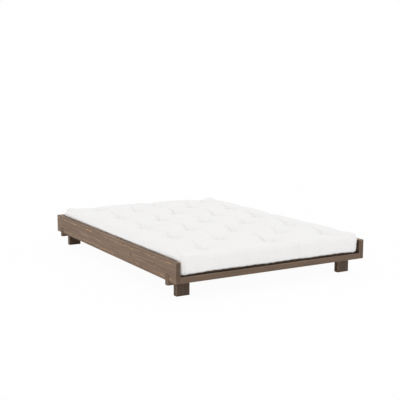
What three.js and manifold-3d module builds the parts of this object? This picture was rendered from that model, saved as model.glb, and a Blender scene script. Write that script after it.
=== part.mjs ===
// A low platform bed with a tufted futon, in millimetres, +Z up.
// The origin is on the floor under the middle of the bed, and the head end is at +Y.
import * as THREE from 'three';
import { ConvexGeometry } from 'three/addons/geometries/ConvexGeometry.js';
import { mergeVertices } from 'three/addons/utils/BufferGeometryUtils.js';
import Module from 'manifold-3d';

const wasm = await Module();
wasm.setup();

// Clearances
const jointGap = 0.3; // between pieces that touch
const slotPlay = 0.7; // on each side of a piece in its notch
const slatPlay = 3; // at each end of a slat
const holePlay = 0.3; // round the shank of a screw or bolt
const boreEnd = 1; // past the tip of a screw or bolt in its blind hole
const cutOver = 1; // how far a cutting solid stands out of the face that it cuts

// Futon
const futonWidth = 1416; // its sides swell almost to the boards
const futonLength = 2000;
const futonThickness = 136; // from the underside to the crowns between the tufts
const futonShiftY = -28; // it lies towards the foot end
const coverWall = 3;
const bottomLayerThickness = 28;
const coreThickness = 50;
const tuftColumns = 5;
const tuftRows = 9;
const tuftSideMargin = 203; // from the outer columns of tufts to the sides, before the shift
const tuftEndMargin = 143; // from the outer rows of tufts to the ends, before the shift
const tuftShiftX = 54; // of the whole pattern of tufts, from the futon's middle
const tuftShiftY = 34;
const edgeFade = 100; // from the rim to where the crowns and creases are full
const tuftDepth = 14; // of a tuft below the creases that meet in it
const creaseDepth = 9; // of a crease below the crowns beside it
const edgeDrop = 3; // of the top's rim below the crowns
const cornerRadius = 24;
const sideDraw = 2; // how far the middle of a side is drawn in
const topRollInset = 14;
const topShoulderInset = 4;
const topShoulderDrop = 6;
const topRollDrop = 20;
const bottomRollInset = 8;
const bottomRollRise = 14;

// Boards round the futon
const sideClearance = 4; // between the futon and each side board
const endClearance = 5; // between the futon and the head board or the foot rail
const boardThickness = 35;
const boardHeight = 134;
const footRailHeight = 40;
const edgeChamfer = 2;

// Legs and cross beams
const legHeight = 77.7;
const legWidth = 95;
const legThickness = 40;
const legInset = 54; // from the outer face of the side board to the leg
const beamHeight = 70;
const beamThickness = 34;
const beamInset = 112; // from the end of the side boards to the middle of a beam
const beamHousing = 43; // how far a beam reaches up into the side boards
const tabLength = 7; // how far a beam stands out of a side board

// Slats and what carries them
const slatCount = 14;
const slatWidth = 70;
const slatThickness = 18;
const slatChamfer = 1.5;
const ledgerWidth = 25;
const ledgerHeight = 24;
const railWidth = 35;
const railHeight = 50;
const railLap = 20; // height of the rail that is left over a beam
const webbingWidth = 30;
const webbingThickness = 1;
const webbingPlace = 350; // from the middle of the bed to each tape
const webbingEnd = 8; // from the end of a tape to the edge of the last slat

// Steel parts
const screwRadius = 2;
const screwHeadRadius = 4.5;
const screwHeadHeight = 2.5;
const ledgerScrewLength = 43;
const ledgerScrewCount = 3;
const ledgerScrewPitch = 600;
const bracketScrewLength = 24;
const boltRadius = 4;
const boltHeadRadius = 6.5;
const boltHeadHeight = 8;
const boltLength = 100;
const socketRadius = 3.6; // across the corners of the hexagon
const socketDepth = 4.5;
const counterboreRadius = 7;
const counterboreDepth = 9;
const bracketReach = 40;
const bracketHeight = 28;
const bracketThickness = 3;
const bracketFillet = 4;
const bracketHoleReach = 26; // from the corner to a screw

// Smoothness of round parts, in sides
const screwSides = 12;
const boltSides = 16;

// Places worked out from the sizes above
const innerHalfWidth = futonWidth / 2 + sideClearance;
const innerHalfLength = futonLength / 2 + endClearance;
const outerHalfWidth = innerHalfWidth + boardThickness;
const outerHalfLength = innerHalfLength + boardThickness;
const beamBottom = legHeight + jointGap;
const beamTop = beamBottom + beamHeight;
const beamPlace = outerHalfLength - beamInset;
const beamInnerFace = beamPlace - beamThickness / 2;
const boardBottom = beamTop - beamHousing;
const legPlace = outerHalfWidth - legInset - legWidth / 2;
const slatBottom = beamTop - slatThickness;
const carrierTop = slatBottom - jointGap;
const railBottom = carrierTop - railHeight;
const railLapBottom = carrierTop - railLap;
const ledgerInnerFace = innerHalfWidth - jointGap - ledgerWidth;
const ledgerMiddle = carrierTop - ledgerHeight / 2;
const bracketMiddle = boardBottom + footRailHeight / 2;
const futonBottom = beamTop + webbingThickness + 2 * jointGap;
const futonTop = futonBottom + futonThickness;

const colours = { stainedPine: 0x86735f, slatPine: 0xc9a877, zinc: 0xb8babd };
const wood = new THREE.MeshStandardMaterial({ color: colours.stainedPine, roughness: 0.6 });
const slatWood = new THREE.MeshStandardMaterial({ color: colours.slatPine, roughness: 0.7 });
const steel = new THREE.MeshStandardMaterial({ color: colours.zinc, roughness: 0.35, metalness: 1 });
const cotton = new THREE.MeshStandardMaterial({ color: 0xf1f0f0, roughness: 0.95 });
const filling = new THREE.MeshStandardMaterial({ color: 0xe9e2d2, roughness: 1 });
const foam = new THREE.MeshStandardMaterial({ color: 0xe6d9a8, roughness: 0.9 });
const tape = new THREE.MeshStandardMaterial({ color: 0xd8d2c4, roughness: 0.9 });

const bed = new THREE.Group();
const alongX = new THREE.Vector3(1, 0, 0);
const alongY = new THREE.Vector3(0, 1, 0);
const alongZ = new THREE.Vector3(0, 0, 1);
const sides = [{ side: 'left', x: -1 }, { side: 'right', x: 1 }];
const ends = [{ end: 'foot', y: -1 }, { end: 'head', y: 1 }];

function add(name, geometry, material, place = new THREE.Vector3(), direction = alongZ) {
  const mesh = new THREE.Mesh(geometry, material);
  mesh.name = name;
  mesh.position.copy(place);
  mesh.quaternion.setFromUnitVectors(alongZ, direction);
  bed.add(mesh);
  return mesh;
}

// Joins and cuts
function toSolid(geometry) {
  const bare = geometry.clone();
  bare.deleteAttribute('normal');
  bare.deleteAttribute('uv');
  const merged = mergeVertices(bare);
  const vertProperties = new Float32Array(merged.attributes.position.array);
  const triVerts = new Uint32Array(merged.index.array);
  return new wasm.Manifold(new wasm.Mesh({ numProp: 3, vertProperties, triVerts }));
}

function toGeometry(solid) {
  const { vertProperties, triVerts } = solid.getMesh();
  const geometry = new THREE.BufferGeometry();
  geometry.setAttribute('position', new THREE.BufferAttribute(vertProperties, 3));
  geometry.setIndex(new THREE.BufferAttribute(triVerts, 1));
  geometry.computeVertexNormals();
  return geometry;
}

// Cuts tools that are placed in the bed's frame from a blank whose own middle lies at place
function carve(blank, place, tools) {
  let solid = toSolid(blank);
  for (const tool of tools) {
    tool.translate(-place.x, -place.y, -place.z);
    solid = solid.subtract(toSolid(tool));
  }
  return toGeometry(solid);
}

// A planed piece of wood, centred, with a small chamfer on every edge
function timber(sizeX, sizeY, sizeZ, chamfer = edgeChamfer) {
  const corners = [];
  for (const x of [-1, 1]) {
    for (const y of [-1, 1]) {
      for (const z of [-1, 1]) {
        for (const flush of [0, 1, 2]) {
          const set = [chamfer, chamfer, chamfer];
          set[flush] = 0;
          corners.push(new THREE.Vector3(
            x * (sizeX / 2 - set[0]),
            y * (sizeY / 2 - set[1]),
            z * (sizeZ / 2 - set[2]),
          ));
        }
      }
    }
  }
  return new ConvexGeometry(corners);
}

// A box between two corners in the bed's frame
function boxBetween(x1, x2, y1, y2, z1, z2) {
  const box = new THREE.BoxGeometry(Math.abs(x2 - x1), Math.abs(y2 - y1), Math.abs(z2 - z1));
  return box.translate((x1 + x2) / 2, (y1 + y2) / 2, (z1 + z2) / 2);
}

// A bore that runs from start along direction
function bore(radius, length, start, direction, count = screwSides) {
  const cylinder = new THREE.CylinderGeometry(radius, radius, length + cutOver, count);
  cylinder.rotateX(Math.PI / 2);
  cylinder.translate(0, 0, (length - cutOver) / 2);
  cylinder.applyQuaternion(new THREE.Quaternion().setFromUnitVectors(alongZ, direction));
  return cylinder.translate(start.x, start.y, start.z);
}

// A turned part along +Z: each point is a radius and a height
function turned(points, count) {
  const profile = points.map(([radius, height]) => new THREE.Vector2(radius, height));
  return new THREE.LatheGeometry(profile, count).rotateX(Math.PI / 2);
}

// A pan-head screw: its seat is at the origin and its shank points along +Z
function screw(length) {
  const crown = 0.7 * screwHeadRadius;
  return turned([
    [0, -screwHeadHeight],
    [crown, -screwHeadHeight],
    [screwHeadRadius, -screwHeadHeight / 2],
    [screwHeadRadius, 0],
    [screwRadius, 0],
    [screwRadius, length - 2 * screwRadius],
    [0, length],
  ], screwSides);
}

// A socket-head bolt: its seat is at the origin and its shank points along +Z
function bolt() {
  const body = toSolid(turned([
    [0, -boltHeadHeight],
    [boltHeadRadius, -boltHeadHeight],
    [boltHeadRadius, 0],
    [boltRadius, 0],
    [boltRadius, boltLength - boltRadius],
    [0, boltLength],
  ], boltSides));
  const head = new THREE.Vector3(0, 0, -boltHeadHeight);
  return toGeometry(body.subtract(toSolid(bore(socketRadius, socketDepth, head, alongZ, 6))));
}

// Screws, each with the wooden pieces that it is driven into
const screws = [];

for (const { side, x } of sides) {
  for (let i = 0; i < ledgerScrewCount; i += 1) {
    const y = (i - (ledgerScrewCount - 1) / 2) * ledgerScrewPitch;
    screws.push({
      name: `ledger_screw_${side}_${i + 1}`,
      seat: new THREE.Vector3(x * (ledgerInnerFace - jointGap), y, ledgerMiddle),
      direction: alongX.clone().multiplyScalar(x),
      length: ledgerScrewLength,
      woods: [`ledger_${side}`, `side_board_${side}`],
    });
  }
  for (const { end, y } of ends) {
    const face = bracketThickness + 2 * jointGap;
    const across = new THREE.Vector3(
      x * (innerHalfWidth - face), y * (innerHalfLength - bracketHoleReach), bracketMiddle,
    );
    const lengthwise = new THREE.Vector3(
      x * (innerHalfWidth - bracketHoleReach), y * (innerHalfLength - face), bracketMiddle,
    );
    screws.push({
      name: `bracket_screw_${end}_${side}_1`,
      seat: across,
      direction: alongX.clone().multiplyScalar(x),
      length: bracketScrewLength,
      woods: [`side_board_${side}`],
    }, {
      name: `bracket_screw_${end}_${side}_2`,
      seat: lengthwise,
      direction: alongY.clone().multiplyScalar(y),
      length: bracketScrewLength,
      woods: [end === 'head' ? 'head_board' : 'foot_rail'],
    });
  }
}

function screwBores(woodName) {
  const driven = screws.filter(({ woods }) => woods.includes(woodName));
  return driven.map(({ seat, direction, length }) => (
    bore(screwRadius + holePlay, length + boreEnd, seat, direction)
  ));
}

for (const { name, seat, direction, length } of screws) {
  add(name, screw(length), steel, seat, direction);
}

// Side boards, notched from below over the cross beams
const notchHalfWidth = beamThickness / 2 + slotPlay;
for (const { side, x } of sides) {
  const name = `side_board_${side}`;
  const place = new THREE.Vector3(
    x * (innerHalfWidth + boardThickness / 2), 0, boardBottom + boardHeight / 2,
  );
  const notches = ends.map(({ y }) => boxBetween(
    x * (innerHalfWidth - cutOver), x * (outerHalfWidth + cutOver),
    y * beamPlace - notchHalfWidth, y * beamPlace + notchHalfWidth,
    boardBottom - cutOver, beamTop + jointGap,
  ));
  const blank = timber(boardThickness, 2 * outerHalfLength, boardHeight);
  add(name, carve(blank, place, [...notches, ...screwBores(name)]), wood, place);
}

// Head board and foot rail, between the side boards
const endBoards = [
  { name: 'head_board', y: 1, height: boardHeight },
  { name: 'foot_rail', y: -1, height: footRailHeight },
];
for (const { name, y, height } of endBoards) {
  const place = new THREE.Vector3(
    0, y * (innerHalfLength + boardThickness / 2), boardBottom + height / 2,
  );
  const blank = timber(2 * (innerHalfWidth - jointGap), boardThickness, height);
  add(name, carve(blank, place, screwBores(name)), wood, place);
}

// Steel brackets in the four corners: two flanges with a fillet between them
function bracketOutline() {
  const inner = -bracketThickness;
  const outline = new THREE.Shape();
  outline.moveTo(0, 0);
  outline.lineTo(-bracketReach, 0);
  outline.lineTo(-bracketReach, inner);
  outline.lineTo(inner - bracketFillet, inner);
  outline.absarc(inner - bracketFillet, inner - bracketFillet, bracketFillet, Math.PI / 2, 0, true);
  outline.lineTo(inner, -bracketReach);
  outline.lineTo(0, -bracketReach);
  outline.closePath();
  return outline;
}

const bracketTurns = { head_right: 0, head_left: 1, foot_left: 2, foot_right: 3 };
for (const { side, x } of sides) {
  for (const { end, y } of ends) {
    const flanges = new THREE.ExtrudeGeometry(bracketOutline(), {
      depth: bracketHeight, bevelEnabled: false, curveSegments: 4,
    });
    flanges.translate(0, 0, -bracketHeight / 2);
    const flangeBores = [
      bore(screwRadius + holePlay, bracketThickness + cutOver,
        new THREE.Vector3(-bracketThickness, -bracketHoleReach + jointGap, 0), alongX),
      bore(screwRadius + holePlay, bracketThickness + cutOver,
        new THREE.Vector3(-bracketHoleReach + jointGap, -bracketThickness, 0), alongY),
    ];
    const place = new THREE.Vector3(
      x * (innerHalfWidth - jointGap), y * (innerHalfLength - jointGap), bracketMiddle,
    );
    const drilled = carve(flanges, new THREE.Vector3(), flangeBores);
    const bracket = add(`corner_bracket_${end}_${side}`, drilled, steel, place);
    bracket.rotation.z = bracketTurns[`${end}_${side}`] * Math.PI / 2;
  }
}

// Legs, bolted up through the cross beams
const boltSeat = beamTop - counterboreDepth + jointGap;
for (const { end, y } of ends) {
  const beamMiddle = new THREE.Vector3(0, y * beamPlace, beamBottom + beamHeight / 2);
  const down = alongZ.clone().negate();
  const beamCuts = [
    boxBetween(
      -railWidth / 2 - slotPlay, railWidth / 2 + slotPlay,
      y * beamPlace - beamThickness, y * beamPlace + beamThickness,
      railLapBottom - jointGap, beamTop + cutOver,
    ),
  ];
  for (const { side, x } of sides) {
    const seat = new THREE.Vector3(x * legPlace, y * beamPlace, boltSeat);
    const shank = () => bore(boltRadius + holePlay, boltLength + boreEnd, seat, down, boltSides);
    const beamFace = new THREE.Vector3(seat.x, seat.y, beamTop);
    const counterbore = bore(counterboreRadius, counterboreDepth, beamFace, down, boltSides);
    beamCuts.push(shank(), counterbore);
    const legMiddle = new THREE.Vector3(seat.x, seat.y, legHeight / 2);
    const leg = carve(timber(legWidth, legThickness, legHeight), legMiddle, [shank()]);
    add(`leg_${end}_${side}`, leg, wood, legMiddle);
    add(`leg_bolt_${end}_${side}`, bolt(), steel, seat, down);
  }
  const beam = timber(2 * (outerHalfWidth + tabLength), beamThickness, beamHeight);
  add(`cross_beam_${end}`, carve(beam, beamMiddle, beamCuts), wood, beamMiddle);
}

// Centre rail, lapped over both cross beams, with a leg of its own in the middle
{
  const place = new THREE.Vector3(0, 0, carrierTop - railHeight / 2);
  const down = alongZ.clone().negate();
  const laps = ends.map(({ y }) => boxBetween(
    -railWidth, railWidth,
    y * (beamPlace - beamThickness / 2 - slotPlay), y * (beamPlace + beamThickness),
    railBottom - cutOver, railLapBottom,
  ));
  const seat = new THREE.Vector3(0, 0, carrierTop - counterboreDepth + jointGap);
  const shank = () => bore(boltRadius + holePlay, boltLength + boreEnd, seat, down, boltSides);
  const railFace = new THREE.Vector3(0, 0, carrierTop);
  const counterbore = bore(counterboreRadius, counterboreDepth, railFace, down, boltSides);
  const blank = timber(railWidth, 2 * beamPlace + beamThickness, railHeight);
  add('center_rail', carve(blank, place, [...laps, shank(), counterbore]), wood, place);

  const centerLegHeight = railBottom - jointGap;
  const legMiddle = new THREE.Vector3(0, 0, centerLegHeight / 2);
  const leg = timber(legThickness, legWidth, centerLegHeight);
  add('center_leg', carve(leg, legMiddle, [shank()]), wood, legMiddle);
  add('center_leg_bolt', bolt(), steel, seat, down);
}

// Ledgers under the ends of the slats
for (const { side, x } of sides) {
  const name = `ledger_${side}`;
  const place = new THREE.Vector3(x * (ledgerInnerFace + ledgerWidth / 2), 0, ledgerMiddle);
  const blank = timber(ledgerWidth, 2 * (beamInnerFace - jointGap), ledgerHeight);
  add(name, carve(blank, place, screwBores(name)), wood, place);
}

// Slats, evenly spaced between the cross beams, and the two tapes that join them
const slatGap = (2 * beamInnerFace - slatCount * slatWidth) / (slatCount + 1);
const slatPitch = slatWidth + slatGap;
const slatSpan = (slatCount - 1) * slatPitch + slatWidth;
for (let i = 0; i < slatCount; i += 1) {
  const place = new THREE.Vector3(
    0, (i - (slatCount - 1) / 2) * slatPitch, slatBottom + slatThickness / 2,
  );
  const slat = timber(2 * (innerHalfWidth - slatPlay), slatWidth, slatThickness, slatChamfer);
  add(`slat_${String(i + 1).padStart(2, '0')}`, slat, slatWood, place);
}

for (const { side, x } of sides) {
  const place = new THREE.Vector3(
    x * webbingPlace, 0, beamTop + jointGap + webbingThickness / 2,
  );
  const length = slatSpan - 2 * webbingEnd;
  const strap = new THREE.BoxGeometry(webbingWidth, length, webbingThickness);
  add(`webbing_${side}`, strap, tape, place);
}

// Grid lines of the futon's top along one axis: the rim, the starts of the round corners,
// the tufts and the middles between them
function gridLines(half, margin, count, shift) {
  const steps = 2 * (count - 1);
  const place = (k) => (half - margin) * (2 * k / steps - 1) + shift;
  const tufted = Array.from({ length: steps + 1 }, (_, k) => place(k));
  const outer = [half - cornerRadius, half - topRollInset];
  return [-outer[1], -outer[0], ...tufted, ...outer];
}

const gridX = gridLines(futonWidth / 2, tuftSideMargin, tuftColumns, tuftShiftX);
const gridY = gridLines(futonLength / 2, tuftEndMargin, tuftRows, tuftShiftY);
const lastX = gridX.length - 1;
const lastY = gridY.length - 1;
const tuftPitchX = (futonWidth - 2 * tuftSideMargin) / (tuftColumns - 1);
const tuftPitchY = (futonLength - 2 * tuftEndMargin) / (tuftRows - 1);

// How far a place on the top lies below the crowns: creases run from tuft to tuft along both
// diagonals of the staggered pattern, and fade out between the last tufts and the rim
function topDip(x, y) {
  const column = (x - tuftShiftX) / tuftPitchX;
  const row = (y - tuftShiftY) / tuftPitchY;
  const along = (column + row) / 2;
  const across = (column - row) / 2;
  const crown = Math.abs(Math.sin(Math.PI * along) * Math.sin(Math.PI * across));
  const fromTuft = Math.hypot(along - Math.round(along), across - Math.round(across));
  const tuft = Math.max(0, 1 - 2 * fromTuft);
  const toSide = (futonWidth / 2 - Math.abs(x)) / edgeFade;
  const toEnd = (futonLength / 2 - Math.abs(y)) / edgeFade;
  const inside = THREE.MathUtils.smoothstep(Math.min(toSide, toEnd), 0, 1);
  return inside * (creaseDepth * (1 - crown) + tuftDepth * tuft) + (1 - inside) * edgeDrop;
}

const onRim = (i, j) => i === 0 || i === lastX || j === 0 || j === lastY;
const dips = gridX.map((x, i) => gridY.map((y, j) => (onRim(i, j) ? edgeDrop : topDip(x, y))));

// A point of the rim's outline in plan, inset from the futon's full size
function rimPoint(i, j, inset) {
  const alongSide = 1 - (2 * gridY[j] / futonLength) ** 2;
  const alongEnd = 1 - (2 * gridX[i] / futonWidth) ** 2;
  const isCorner = (i === 0 || i === lastX) && (j === 0 || j === lastY);
  const cornerPull = isCorner ? (cornerRadius - inset) * (1 - Math.SQRT1_2) : 0;
  const x = futonWidth / 2 - inset - sideDraw * Math.max(0, alongSide) - cornerPull;
  const y = futonLength / 2 - inset - sideDraw * Math.max(0, alongEnd) - cornerPull;
  return {
    x: i === 0 ? -x : i === lastX ? x : gridX[i],
    y: j === 0 ? -y : j === lastY ? y : gridY[j],
  };
}

// The rim's grid points in order round the futon, anticlockwise from above
const rim = [
  ...gridX.slice(0, -1).map((_, i) => [i, 0]),
  ...gridY.slice(0, -1).map((_, j) => [lastX, j]),
  ...gridX.slice(1).map((_, i) => [lastX - i, lastY]),
  ...gridY.slice(1).map((_, j) => [0, lastY - j]),
];

// One skin of the futon, set in by depth: its points, and its triangles facing outwards
function futonSkin(depth) {
  const points = [];
  const triangles = [];
  const index = (i, j) => i * gridY.length + j;
  const rimTop = futonTop - edgeDrop;

  gridX.forEach((x, i) => gridY.forEach((y, j) => {
    const plan = onRim(i, j) ? rimPoint(i, j, topRollInset + depth) : { x, y };
    points.push(plan.x, plan.y, futonTop - dips[i][j] - depth);
  }));

  // Each cell is folded along its lower diagonal, so that creases run through
  for (let i = 0; i < lastX; i += 1) {
    for (let j = 0; j < lastY; j += 1) {
      const [a, b, c, d] = [index(i, j), index(i + 1, j), index(i + 1, j + 1), index(i, j + 1)];
      const rising = dips[i][j] + dips[i + 1][j + 1];
      const falling = dips[i + 1][j] + dips[i][j + 1];
      triangles.push(...(rising >= falling ? [a, b, c, a, c, d] : [a, b, d, b, c, d]));
    }
  }

  // Rings from the rim of the top down the side
  const rings = [
    { inset: topShoulderInset, z: rimTop - topShoulderDrop - depth },
    { inset: 0, z: rimTop - topRollDrop - depth },
    { inset: 0, z: futonBottom + bottomRollRise },
    { inset: bottomRollInset, z: futonBottom },
  ];
  let upper = rim.map(([i, j]) => index(i, j));
  for (const { inset, z } of rings) {
    const lower = rim.map(([i, j]) => {
      const { x, y } = rimPoint(i, j, inset + depth);
      points.push(x, y, z);
      return points.length / 3 - 1;
    });
    upper.forEach((_, k) => {
      const next = (k + 1) % rim.length;
      triangles.push(upper[k], lower[k], lower[next], upper[k], lower[next], upper[next]);
    });
    upper = lower;
  }
  return { points, triangles, bottomRim: upper };
}

function meshOf(points, triangles) {
  const geometry = new THREE.BufferGeometry();
  geometry.setAttribute('position', new THREE.Float32BufferAttribute(points, 3));
  geometry.setIndex(triangles);
  geometry.computeVertexNormals();
  return geometry;
}

// Top and sides of the casing, a shell that is open below
function coverShell() {
  const outer = futonSkin(0);
  const inner = futonSkin(coverWall);
  const shift = outer.points.length / 3;
  const triangles = [...outer.triangles];
  for (let t = 0; t < inner.triangles.length; t += 3) {
    const [a, b, c] = inner.triangles.slice(t, t + 3);
    triangles.push(a + shift, c + shift, b + shift);
  }
  outer.bottomRim.forEach((point, k) => {
    const next = (k + 1) % rim.length;
    const [a, b] = [point, outer.bottomRim[next]];
    const [c, d] = [inner.bottomRim[k] + shift, inner.bottomRim[next] + shift];
    triangles.push(a, c, d, a, d, b);
  });
  return meshOf([...outer.points, ...inner.points], triangles);
}

// The space inside the casing between two heights
function insideCover(from, to) {
  const { points, triangles, bottomRim } = futonSkin(coverWall + jointGap);
  const middle = points.length / 3;
  points.push(0, 0, futonBottom);
  bottomRim.forEach((point, k) => {
    triangles.push(point, middle, bottomRim[(k + 1) % rim.length]);
  });
  const slice = boxBetween(-futonWidth, futonWidth, -futonLength, futonLength, from, to);
  return toGeometry(toSolid(meshOf(points, triangles)).intersect(toSolid(slice)));
}

const undersideTop = futonBottom + coverWall;
const bottomLayerTop = undersideTop + jointGap + bottomLayerThickness;
const coreTop = bottomLayerTop + jointGap + coreThickness;
const futonPlace = new THREE.Vector3(0, futonShiftY, 0);
add('futon_cover', coverShell(), cotton, futonPlace);
add('futon_underside', insideCover(futonBottom, undersideTop), cotton, futonPlace);
add('cotton_layer_bottom', insideCover(undersideTop + jointGap, bottomLayerTop), filling, futonPlace);
add('foam_core', insideCover(bottomLayerTop + jointGap, coreTop), foam, futonPlace);
add('cotton_layer_top', insideCover(coreTop + jointGap, futonTop), filling, futonPlace);

export default bed;
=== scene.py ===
"""Looks of a low platform bed with a loose tufted futon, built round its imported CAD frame."""

import math

import bpy
import numpy as np
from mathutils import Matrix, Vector


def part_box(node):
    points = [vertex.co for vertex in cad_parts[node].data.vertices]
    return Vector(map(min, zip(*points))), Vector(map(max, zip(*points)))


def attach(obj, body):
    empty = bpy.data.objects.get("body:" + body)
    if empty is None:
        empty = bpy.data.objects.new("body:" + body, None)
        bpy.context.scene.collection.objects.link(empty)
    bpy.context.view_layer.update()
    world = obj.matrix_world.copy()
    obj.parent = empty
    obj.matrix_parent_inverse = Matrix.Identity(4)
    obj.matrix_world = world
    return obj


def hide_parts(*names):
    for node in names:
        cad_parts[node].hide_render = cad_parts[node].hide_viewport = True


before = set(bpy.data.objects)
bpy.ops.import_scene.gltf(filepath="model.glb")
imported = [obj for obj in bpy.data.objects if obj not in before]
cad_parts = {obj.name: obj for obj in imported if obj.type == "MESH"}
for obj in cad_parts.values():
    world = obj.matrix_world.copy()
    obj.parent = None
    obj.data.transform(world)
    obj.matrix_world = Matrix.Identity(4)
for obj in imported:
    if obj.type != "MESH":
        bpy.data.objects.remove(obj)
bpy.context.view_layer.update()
scene = bpy.context.scene

# Camera: solved from the corners of the bed in a 400 x 400 frame
CAMERA_PLACE = Vector((-2.9868, -5.2209, 1.3265))
CAMERA_HEADING = math.radians(29.965)  # clockwise from +Y
CAMERA_DIP = math.radians(8.378)  # below the horizon
FOCAL_PIXELS = 797.6
FRAME_PIXELS = 400
SENSOR_MM = 36.0


def placed(name, data):
    holder = bpy.data.objects.new(name, data)
    scene.collection.objects.link(holder)
    return holder


def make_camera():
    camera = bpy.data.cameras.new("camera")
    camera.sensor_width = SENSOR_MM
    camera.lens = FOCAL_PIXELS / FRAME_PIXELS * SENSOR_MM
    camera.clip_end = 60
    holder = placed("camera", camera)
    holder.location = CAMERA_PLACE
    holder.rotation_euler = (math.pi / 2 - CAMERA_DIP, 0, -CAMERA_HEADING)
    scene.camera = holder


# Light: an even pale room, a broad soft key from above and behind, and a low fill from the front
WORLD_LIGHT = 0.86
SUN_SPREAD = math.radians(60)
KEY_STRENGTH = 0.45
KEY_FROM = Vector((0.35, 0.55, 1.0))
FILL_STRENGTH = 0.62
FILL_FROM = Vector((-0.35, -1.0, 0.15))


def make_sun(name, strength, come_from):
    sun = bpy.data.lights.new(name, "SUN")
    sun.energy = strength
    sun.angle = SUN_SPREAD
    placed(name, sun).rotation_euler = come_from.to_track_quat("Z", "Y").to_euler()


def linked(tree, *pairs):
    for output, socket in pairs:
        tree.links.new(output, socket)


def make_lights():
    world = bpy.data.worlds.new("room")
    scene.world = world
    world.use_nodes = True
    tree = world.node_tree
    tree.nodes.clear()
    rays = tree.nodes.new("ShaderNodeLightPath").outputs
    shiny, seen = tree.nodes.new("ShaderNodeMath"), tree.nodes.new("ShaderNodeMath")
    shiny.operation = seen.operation = "MAXIMUM"
    light, white = tree.nodes.new("ShaderNodeBackground"), tree.nodes.new("ShaderNodeBackground")
    for background, strength in ((light, WORLD_LIGHT), (white, 1)):
        background.inputs["Color"].default_value = (1, 1, 1, 1)
        background.inputs["Strength"].default_value = strength
    mix = tree.nodes.new("ShaderNodeMixShader")
    out = tree.nodes.new("ShaderNodeOutputWorld")
    linked(tree, (rays["Is Glossy Ray"], shiny.inputs[0]), (rays["Is Transmission Ray"], shiny.inputs[1]),
           (rays["Is Camera Ray"], seen.inputs[0]), (shiny.outputs[0], seen.inputs[1]),
           (seen.outputs[0], mix.inputs[0]), (light.outputs[0], mix.inputs[1]),
           (white.outputs[0], mix.inputs[2]), (mix.outputs[0], out.inputs[0]))
    make_sun("key", KEY_STRENGTH, KEY_FROM)
    make_sun("fill", FILL_STRENGTH, FILL_FROM)


# Floor: white paper that keeps a faint shadow of the bed
FLOOR_HALF = 14.0
FLOOR_WHITE = 0.9
FLOOR_GLOW = 0.96  # share of plain white that the camera sees in it


def make_floor():
    mesh = bpy.data.meshes.new("floor")
    s = FLOOR_HALF
    mesh.from_pydata([(-s, -s, 0), (s, -s, 0), (s, s, 0), (-s, s, 0)], [], [(0, 1, 2, 3)])
    floor = placed("floor", mesh)
    material = bpy.data.materials.new("floor_paper")
    material.use_nodes = True
    tree = material.node_tree
    tree.nodes.clear()
    rays = tree.nodes.new("ShaderNodeLightPath").outputs
    share = tree.nodes.new("ShaderNodeMath")
    share.operation = "MULTIPLY"
    share.inputs[1].default_value = FLOOR_GLOW
    paper = tree.nodes.new("ShaderNodeBsdfDiffuse")
    paper.inputs["Color"].default_value = (FLOOR_WHITE, FLOOR_WHITE, FLOOR_WHITE, 1)
    glow = tree.nodes.new("ShaderNodeEmission")
    glow.inputs["Strength"].default_value = 1
    mix = tree.nodes.new("ShaderNodeMixShader")
    out = tree.nodes.new("ShaderNodeOutputMaterial")
    linked(tree, (rays["Is Camera Ray"], share.inputs[0]), (share.outputs[0], mix.inputs[0]),
           (paper.outputs[0], mix.inputs[1]), (glow.outputs[0], mix.inputs[2]),
           (mix.outputs[0], out.inputs[0]))
    mesh.materials.append(material)


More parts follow.
